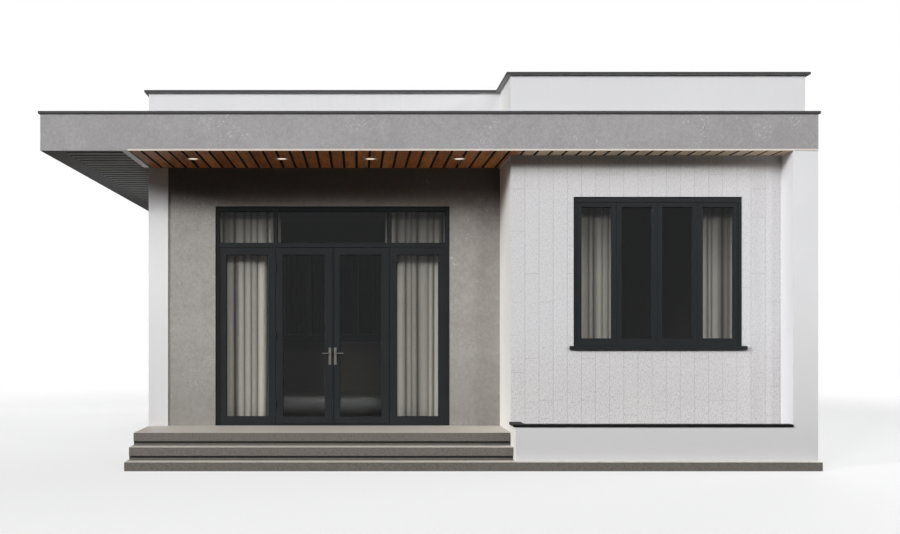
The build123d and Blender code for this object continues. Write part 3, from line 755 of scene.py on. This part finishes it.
# The grid's lines lie at the edges and the bottoms of the joints. Each tile has its own small set
# back, and the skin lies behind that by the deeper of the two grooves that meet at a point:
# y = front + set back + max(upright groove(x), level groove(z) where the column has that joint).
def makeCladding():
    size = wingTiles
    low, high = claddingLow, claddingHigh
    frameBox, sillBox = (min(solidBoxes(name), key=lambda box: box[0][1])
                         for name in ("window_frames", "window_sills"))
    holeLow = (frameBox[0][0], sillBox[0][2])
    holeHigh = (frameBox[1][0], frameBox[1][2])
    offsets = np.array([-0.5, -0.3, 0.3, 0.5]) * size["joint"]
    sunk = np.array([0, 1, 1, 0])
    columnJoints, levelJoints = (
        np.arange(start + pitch, end - size["narrowest"], pitch)
        for start, end, pitch in ((low.x, high.x, size["width"]), (low.z, high.z, size["module"])))
    xs = np.concatenate([(columnJoints[:, None] + offsets).ravel(),
                         [low.x, high.x, holeLow[0], holeHigh[0]]])
    xSunk = np.concatenate([np.tile(sunk, len(columnJoints)), [0, 0, 0, 0]])
    zs = np.concatenate([(levelJoints[:, None] + offsets).ravel(),
                         [low.z, high.z, holeLow[1], holeHigh[1]]])
    zLevel = np.concatenate([np.repeat(np.arange(len(levelJoints)), 4), [-1, -1, -1, -1]])
    zSunk = np.concatenate([np.tile(sunk, len(levelJoints)), [0, 0, 0, 0]])
    order = np.argsort(xs, kind="stable")
    xs, xSunk = xs[order], xSunk[order]
    order = np.argsort(zs, kind="stable")
    zs, zLevel, zSunk = zs[order], zLevel[order], zSunk[order]
    rng = np.random.default_rng(31)
    column = np.searchsorted(columnJoints, xs)
    hasJoint = rng.random((len(columnJoints) + 1, len(levelJoints))) < size["jointShare"]
    hasJoint[:, 1:] &= ~hasJoint[:, :-1]
    present = np.where(zLevel[None, :] >= 0, hasJoint[column][:, np.maximum(zLevel, 0)], False)
    levelDepth = present * zSunk[None, :]
    depth = np.maximum(xSunk[:, None], levelDepth) * size["depth"]
    passed = np.cumsum(present & (zSunk[None, :] > 0), axis=1) // 2
    tileNumber = column[:, None] * size["mostInColumn"] + passed
    tone = rng.random(int(tileNumber.max()) + 1)[tileNumber]
    setBack = rng.random(int(tileNumber.max()) + 1)[tileNumber] * size["setBack"]
    face = low.y + depth + setBack
    face[[0, -1], :] = low.y + depth[[0, -1], :]
    rows, columns = face.shape
    x, z = np.meshgrid(xs, zs, indexing="ij")
    frontPoints = np.stack([x, face, z], axis=-1).reshape(-1, 3)
    backPoints = np.stack([x, np.full_like(x, high.y), z], axis=-1).reshape(-1, 3)
    quads = gridFaces(rows, columns)
    middle = frontPoints[quads].mean(axis=1)
    inHole = ((middle[:, 0] > holeLow[0]) & (middle[:, 0] < holeHigh[0])
              & (middle[:, 2] > holeLow[1]) & (middle[:, 2] < holeHigh[1]))
    quads = quads[~inHole]
    sides = np.concatenate([quads[:, [k, (k + 1) % 4]] for k in range(4)])
    keys = np.sort(sides, axis=1)
    _, index, uses = np.unique(keys, axis=0, return_index=True, return_counts=True)
    rimSides = sides[index[uses == 1]]
    count = len(frontPoints)
    rimFaces = np.column_stack([rimSides[:, 1], rimSides[:, 0], rimSides[:, 0] + count,
                                rimSides[:, 1] + count])
    faces = np.concatenate([quads, quads[:, ::-1] + count, rimFaces])
    sunkFace = (depth.ravel()[quads] > 0).sum(axis=1) >= 4
    faceFinish = np.concatenate([sunkFace.astype(int),
                                 np.zeros(len(quads) + len(rimFaces), dtype=int)])
    makePiece("wingTiles", np.concatenate([frontPoints, backPoints]), faces, [tile, joint],
              replaced=["wing_cladding"], faceFinish=faceFinish,
              tones={"tileTone": np.concatenate([tone.ravel(), tone.ravel()])})


makeCladding()
print("cladding made")


# Glazing beads and the seals between them and the glass, on both faces of each pane.

glazing = {
    "rebate": 0.010,
    "bead": [(0.0, 0.003), (0.007, 0.003), (0.007, 0.006), (0.0025, 0.019), (0.0, 0.019)],
    "seal": [(0.007, 0.003), (0.0095, 0.003), (0.0092, 0.005), (0.007, 0.0058)],
}


# A profile of (inwards, outwards) carried round the four mitred corners of an opening:
# point = centre + a * (half width - inwards) + b * (half height - inwards) + normal * outwards.
def framedRing(low, high, profile, side):
    centre, half = (low + high) / 2, (high - low) / 2
    thin = int(np.argmin(half))
    wide = 1 - thin
    inwards, outwards = np.array(profile).T
    signs = np.array([(-1, -1), (1, -1), (1, 1), (-1, 1)])
    points = np.zeros((4, len(profile), 3))
    points[..., wide] = centre[wide] + signs[:, :1] * (half[wide] - glazing["rebate"] - inwards)
    points[..., 2] = centre[2] + signs[:, 1:] * (half[2] - glazing["rebate"] - inwards)
    points[..., thin] = centre[thin] + side * outwards
    return points, gridFaces(4, len(profile), roundRows=True, roundColumns=True)


def makeGlazing(prefix, body, *glassNodes):
    boxes = [box for name in glassNodes for box in solidBoxes(name)]
    for part, finish, slot in (("bead", anthracite, "anthracite"), ("seal", seal, "black_metal")):
        rings = [framedRing(low, high, glazing[part], side) for low, high in boxes
                 for side in (-1, 1)]
        points, faces = gathered(rings)
        makePiece(prefix + part.capitalize() + "s", points, faces, [finish], body)


makeGlazing("fixedPane", "house", "fixed_glass", "window_glass")
makeGlazing("leftLeaf", "left_leaf", "door_glass_left")
makeGlazing("rightLeaf", "right_leaf", "door_glass_right")
print("glazing made")


# Downlights: a rim that covers the hole in the boards, and a frosted lens set into it.

downlight = {
    "rim": [(0.0, 0.028), (0.058, 0.028), (0.058, 0.0), (0.0776, 0.0), (0.078, -0.0012),
            (0.0765, -0.0035), (0.074, -0.004), (0.064, -0.0038), (0.0585, -0.0015),
            (0.056, 0.004), (0.0, 0.004)],
    "lens": [(0.0, 0.0036), (0.0555, 0.0036), (0.0555, 0.0026), (0.04, 0.0008), (0.02, -0.0002),
             (0.0, -0.0005)],
    "sides": 48,
}


# A profile of (radius, height) turned about an upright axis: x = r * cos(a), y = r * sin(a).
def turned(profile, centre, sides):
    radius, height = np.array(profile).T
    angle = np.linspace(0, 2 * pi, sides, endpoint=False)[:, None]
    points = np.stack([centre[0] + radius * np.cos(angle), centre[1] + radius * np.sin(angle),
                       centre[2] + height + 0 * angle], axis=-1)
    return points, gridFaces(sides, len(profile), roundRows=True)


def makeDownlights():
    places = [np.array([*((low + high) / 2)[:2], soffitLow.z])
              for low, high in solidBoxes("downlights")]
    for part, finish in (("rim", rim), ("lens", glow)):
        shapes = [turned(downlight[part], place, downlight["sides"]) for place in places]
        points, faces = gathered(shapes)
        makePiece("downlight" + part.capitalize(), points, faces, [finish],
                  replaced=["downlights"] if part == "rim" else ())


makeDownlights()


# Rubber seals: a lip behind each hinge gap, on the fixed side panel, and a strip near the front
# of each leaf's meeting edge. A section is (towards the gap, inwards) from a corner.

doorSeals = {
    "hinge": [(-0.012, 0.0), (-0.002, 0.0), (-0.002, 0.0055), (0.0095, 0.0055), (0.0095, 0.0075),
              (-0.012, 0.0075)],
    "leftMeeting": [(0.0, 0.002), (0.003, 0.002), (0.004, 0.005), (0.003, 0.008), (0.0, 0.008)],
    "rightMeeting": [(0.0, 0.002), (0.0015, 0.002), (0.002, 0.005), (0.0015, 0.008), (0.0, 0.008)],
}


# The section carried up from foot to head: x = corner + side * across, y = face + inwards.
def sealStrip(section, corner, face, side, foot, head):
    across, inwards = np.array(section).T
    outline = np.stack([corner + side * across, face + inwards], axis=-1)
    points = np.array([[(x, y, z) for x, y in outline] for z in (foot, head)])
    corners = len(outline)
    return points, [*gridFaces(2, corners, roundColumns=True), np.arange(corners),
                    corners + np.arange(corners)]


def makeDoorSeals():
    panels = sorted(solidBoxes("side_panels"), key=lambda box: box[0][0])
    (leftLow, leftHigh), (rightLow, _) = (
        max(solidBoxes(name), key=lambda box: np.prod(box[1] - box[0]))
        for name in ("door_leaf_left", "door_leaf_right"))
    foot, head = leftLow[2], leftHigh[2]
    lips = [sealStrip(doorSeals["hinge"], panels[0][1][0], panels[0][1][1], 1, foot, head),
            sealStrip(doorSeals["hinge"], panels[-1][0][0], panels[-1][1][1], -1, foot, head)]
    left = sealStrip(doorSeals["leftMeeting"], leftHigh[0], leftLow[1], 1, foot, head)
    right = sealStrip(doorSeals["rightMeeting"], rightLow[0], rightLow[1], -1, foot, head)
    for name, shapes, body in (("hingeSeals", lips, "house"),
                               ("leftMeetingSeal", [left], "left_leaf"),
                               ("rightMeetingSeal", [right], "right_leaf")):
        points, faces = gathered(shapes)
        makePiece(name, points, faces, [seal], body)


makeDoorSeals()


# Lock cylinders under the levers, on both faces of each leaf.

lockCylinder = {
    "profile": [(0.0, 0.0), (0.0085, 0.0), (0.0085, 0.003), (0.0078, 0.0038), (0.0055, 0.0038),
                (0.0050, 0.0028), (0.0, 0.0028)],
    "aboveFoot": 0.045,
    "sides": 32,
}


def makeLock(nodeName, pieceName, body):
    shapes = []
    plates = solidBoxes(nodeName)
    inner = np.mean([(low + high)[1] / 2 for low, high in plates])
    for low, high in plates:
        side = 1 if (low + high)[1] / 2 > inner else -1
        centre = np.array([(low + high)[0] / 2, high[1] if side > 0 else low[1],
                           low[2] + lockCylinder["aboveFoot"]])
        points, faces = turned(lockCylinder["profile"], np.zeros(3), lockCylinder["sides"])
        turnedOut = np.stack([points[..., 0], side * points[..., 2], points[..., 1]], axis=-1)
        shapes.append((turnedOut + centre, faces))
    points, faces = gathered(shapes)
    makePiece(pieceName, points, faces, [steel], body)


makeLock("handle_plates_left", "leftLock", "left_leaf")
makeLock("handle_plates_right", "rightLock", "right_leaf")
print("lamps, seals and locks made")


# Curtains: each is one sheet in soft folds, hung by its gathered heading from the ceiling track.

curtainFolds = {
    "foldWidth": 0.098,
    "depth": 0.0225,
    "headingDepth": 0.013,
    "bulge": 0.008,
    "headingDrop": 0.14,  # share of the drop in which the folds open
    "drift": 0.0025,
    "thickness": 0.0014,
    "acrossStations": 260,
    "downStations": 44,
}


# With t from 0 to 1 across and v the drop: the phase p(t) = 2 pi n (t + small slow waves), the
# cloth's depth y = a(v, t) * (sin(p) - 0.28 * (1 + cos(2 p))), whose folds are round towards the
# glass and narrow away from it, and x = left + width * t + bulge * sin(2 p). The depth a grows
# from the heading down, each fold has its own share of it, and a slow drift in y grows downwards.
def makeCurtain(name, low, high, seed, shade):
    size = curtainFolds
    rng = np.random.default_rng(seed)
    width, height = high[0] - low[0], high[2] - low[2]
    folds = round(width / size["foldWidth"])
    t = np.linspace(0, 1, size["acrossStations"])[:, None]
    v = np.linspace(0, 1, size["downStations"])[None, :] ** 0.8
    shift, turn = rng.uniform(0.4, 0.8, 4), rng.uniform(0, 2 * pi, 8)
    slow = sum(shift[k] / (folds * (k + 2)) * np.sin(2 * pi * (k + 1.3) * t + turn[k])
               for k in range(4))
    sway = 0.02 * np.sin(2 * pi * (1.1 * t + 0.35 * v) + turn[4]) * v
    phase = 2 * pi * folds * (t + 0.8 * slow + 0.3 * sway)
    share = 0.66 + 0.34 * np.sin(2 * pi * 3.4 * t + turn[5]) * np.cos(2 * pi * 0.7 * t + turn[6])
    opening = np.clip(v / size["headingDrop"], 0, 1)
    depth = (size["headingDepth"] + (size["depth"] - size["headingDepth"])
             * (3 - 2 * opening) * opening ** 2) * share
    wave = np.sin(phase) - 0.28 * (1 + np.cos(2 * phase))
    y = depth * wave + size["drift"] * np.sin(2 * pi * (0.8 * v + 1.7 * t) + turn[7]) * v
    fade = np.clip(np.minimum(t, 1 - t) * folds * 2, 0, 1)
    x = size["bulge"] * np.sin(2 * phase) * fade * opening + width * t
    edge = size["thickness"]
    x = np.clip(x, edge, width - edge) + low[0]
    y = y + (low[1] + high[1]) / 2
    z = high[2] - edge - (height - 2 * edge) * v + 0 * t
    points = np.stack([x + 0 * v, y, z], axis=-1)
    rows, columns = points.shape[:2]
    arc = np.concatenate([[0], np.cumsum(np.linalg.norm(
        np.diff(points[:, columns // 2, :2], axis=0), axis=1))])
    mesh = bpy.data.meshes.new(name)
    faces = gridFaces(rows, columns)
    mesh.from_pydata(points.reshape(-1, 3).tolist(), [], faces.tolist())
    mesh.materials.append(cloth)
    unrolled = np.stack(np.broadcast_arrays(arc[:, None], z - low[2]), axis=-1).reshape(-1, 2)
    layer = mesh.uv_layers.new(name="cloth")
    layer.data.foreach_set("uv", unrolled[faces.ravel()].astype(np.float32).ravel())
    foldDepth = 0.5 + 0.5 * wave * share * (0.4 + 0.6 * opening)
    for key, values in (("foldDepth", foldDepth), ("clothShade", shade + 0 * foldDepth)):
        layer = mesh.attributes.new(key, "FLOAT", "POINT")
        layer.data.foreach_set("value", values.astype(np.float32).ravel())
    mesh.polygons.foreach_set("use_smooth", [True] * len(mesh.polygons))
    piece = settle(name, mesh, "house", ["curtains"])
    thick = piece.modifiers.new("clothThickness", "SOLIDIFY")
    thick.thickness = size["thickness"]
    thick.offset = 0.0


# How much painted shade darkens each curtain, from the left one to the right one.
curtainShades = {
    "doorCurtainLeft": 0.0,
    "doorCurtainRight": 0.2,
    "windowCurtainLeft": 0.0,
    "windowCurtainRight": 0.38,
}
curtainBoxes = sorted(solidBoxes("curtains"), key=lambda box: box[0][0])
for number, (name, (low, high)) in enumerate(zip(curtainShades, curtainBoxes)):
    makeCurtain(name, low, high, 11 + number, curtainShades[name])
print("curtains made")


# The floor it stands on, which turns into the plain white of the background further out.

studio = {
    "floorRadius": 80.0,
    "fadeStart": 9.5,
    "fadeEnd": 17.0,
    "floorPale": (248, 248, 248),
    "floorGlow": 0.62,
    "floorForLight": (70, 70, 69),
    "rings": 24,
    "sides": 96,
}


# 1 for a ray that mirrors off the outside of a surface, 0 for one that went through glass.
def outerGloss(finish):
    path = "ShaderNodeLightPath"
    return finish.node(path, output="Is Glossy Ray") * (
        1 - finish.node(path, output="Is Transmission Ray"))


def floorFinish():
    finish = Finish("studioFloor")
    x, y = finish.part(finish.place, 0), finish.part(finish.place, 1)
    away = x.maths("SQRT", x * x + y * y)
    fade = finish.rise(away, studio["fadeStart"], studio["fadeEnd"])
    seen = finish.node("ShaderNodeLightPath", output="Is Camera Ray")
    gloss = outerGloss(finish)
    pale = finish.node("ShaderNodeBsdfDiffuse", None, {"Color": paint(*studio["floorPale"])})
    dim = finish.node("ShaderNodeBsdfDiffuse", None, {"Color": paint(*studio["floorForLight"])})
    white = finish.node("ShaderNodeEmission", None, {"Color": (1, 1, 1, 1), "Strength": 1.0})
    share = studio["floorGlow"] + (1 - studio["floorGlow"]) * fade
    shown = finish.node("ShaderNodeMixShader", None, {0: share, 1: pale, 2: white})
    horizon = finish.node("ShaderNodeEmission", None,
                          {"Color": (1, 1, 1, 1), "Strength": sky["glossHorizon"]})
    unseen = finish.node("ShaderNodeMixShader", None, {0: gloss * fade, 1: dim, 2: horizon})
    return finish.finished(finish.node("ShaderNodeMixShader", None, {0: seen, 1: unseen, 2: shown}))


# A disc of rings: x = r * cos(a), y = r * sin(a).
def makeFloor():
    radius = np.linspace(0, 1, studio["rings"])[:, None] ** 2 * studio["floorRadius"]
    angle = np.linspace(0, 2 * pi, studio["sides"], endpoint=False)[None, :]
    points = np.stack([radius * np.cos(angle), radius * np.sin(angle), 0 * radius * angle], axis=-1)
    mesh = bpy.data.meshes.new("studioFloor")
    mesh.from_pydata(points.reshape(-1, 3).tolist(), [],
                     gridFaces(studio["rings"], studio["sides"], roundColumns=True).tolist())
    mesh.materials.append(floorFinish())
    floor = bpy.data.objects.new("studioFloor", mesh)
    scene.collection.objects.link(floor)


# Light: an even sky that starts some way above the horizon, and wide soft suns.

sky = {
    "colour": (250, 252, 255),
    "lowStrength": 0.238,
    "highStrength": 0.139,
    "lowBand": (22, 28),
    "highBand": (45, 55),
    "glossHorizon": 0.34,
    "glossBand": (6, 12),
}
suns = {
    "leftLowSun": {"strength": 1.1, "azimuth": -57, "elevation": 13, "softness": 8},
    "leftSun": {"strength": 0.6, "azimuth": -56, "elevation": 18.5, "softness": 8},
    "leftHighSun": {"strength": 0.36, "azimuth": -57, "elevation": 25, "softness": 8},
    "halfLeftLowSun": {"strength": 0.31, "azimuth": -30, "elevation": 13, "softness": 8},
    "halfLeftSun": {"strength": 0.5, "azimuth": -30, "elevation": 18.5, "softness": 8},
    "halfLeftHighSun": {"strength": 0.38, "azimuth": -30, "elevation": 25, "softness": 8},
    "frontSun": {"strength": 0.6, "azimuth": 15, "elevation": 18.5, "softness": 8},
    "halfRightLowSun": {"strength": 0.53, "azimuth": 40, "elevation": 13, "softness": 8},
    "rightSun": {"strength": 1.5, "azimuth": 108, "elevation": 16, "softness": 30},
    "backSun": {"strength": 1.2, "azimuth": 165, "elevation": 30, "softness": 30},
}


def makeSky():
    world = bpy.data.worlds.new("studioSky")
    scene.world = world
    finish = Finish("studioSky", world)
    direction = finish.node("ShaderNodeTexCoord", output="Generated")
    height = finish.part(direction, 2)
    low, high, nearGround = (
        finish.rise(height, *(sin(radians(angle)) for angle in sky[band]))
        for band in ("lowBand", "highBand", "glossBand"))
    strength = (low * sky["lowStrength"] + high * (sky["highStrength"] - sky["lowStrength"])
                + outerGloss(finish) * (1 - nearGround) * sky["glossHorizon"])
    lit = finish.node("ShaderNodeBackground", None, {"Color": paint(*sky["colour"]),
                                                     "Strength": strength})
    plain = finish.node("ShaderNodeBackground", None, {"Color": (1, 1, 1, 1), "Strength": 1.0})
    seen = finish.node("ShaderNodeLightPath", output="Is Camera Ray")
    shown = finish.node("ShaderNodeMixShader", None, {0: seen, 1: lit, 2: plain})
    finish.node("ShaderNodeOutputWorld", None, {"Surface": shown}, None)


# A sun that shines from an azimuth, measured from the front towards the right, and an elevation.
def makeSun(name, strength, azimuth, elevation, softness):
    lamp = bpy.data.lights.new(name, "SUN")
    lamp.energy = strength
    lamp.angle = radians(softness)
    holder = bpy.data.objects.new(name, lamp)
    holder.rotation_euler = (radians(90 - elevation), 0, radians(azimuth))
    scene.collection.objects.link(holder)


# The camera stands level in front of the porch and looks straight in; the shift frames the house.
cameraView = {
    "place": (-0.8115, -19.475, 1.585),
    "lens": 51.52,
    "shift": (0.102, 0.0684),
}


def makeCamera():
    camera = bpy.data.objects.new("viewCamera", bpy.data.cameras.new("viewCamera"))
    camera.data.lens = cameraView["lens"]
    camera.data.shift_x, camera.data.shift_y = cameraView["shift"]
    camera.location = cameraView["place"]
    camera.rotation_euler = (radians(90), 0, 0)
    scene.collection.objects.link(camera)
    scene.camera = camera


makeFloor()
makeSky()
for name, settings in suns.items():
    makeSun(name, **settings)
makeCamera()
scene.view_settings.view_transform = "Standard"
print("studio made")
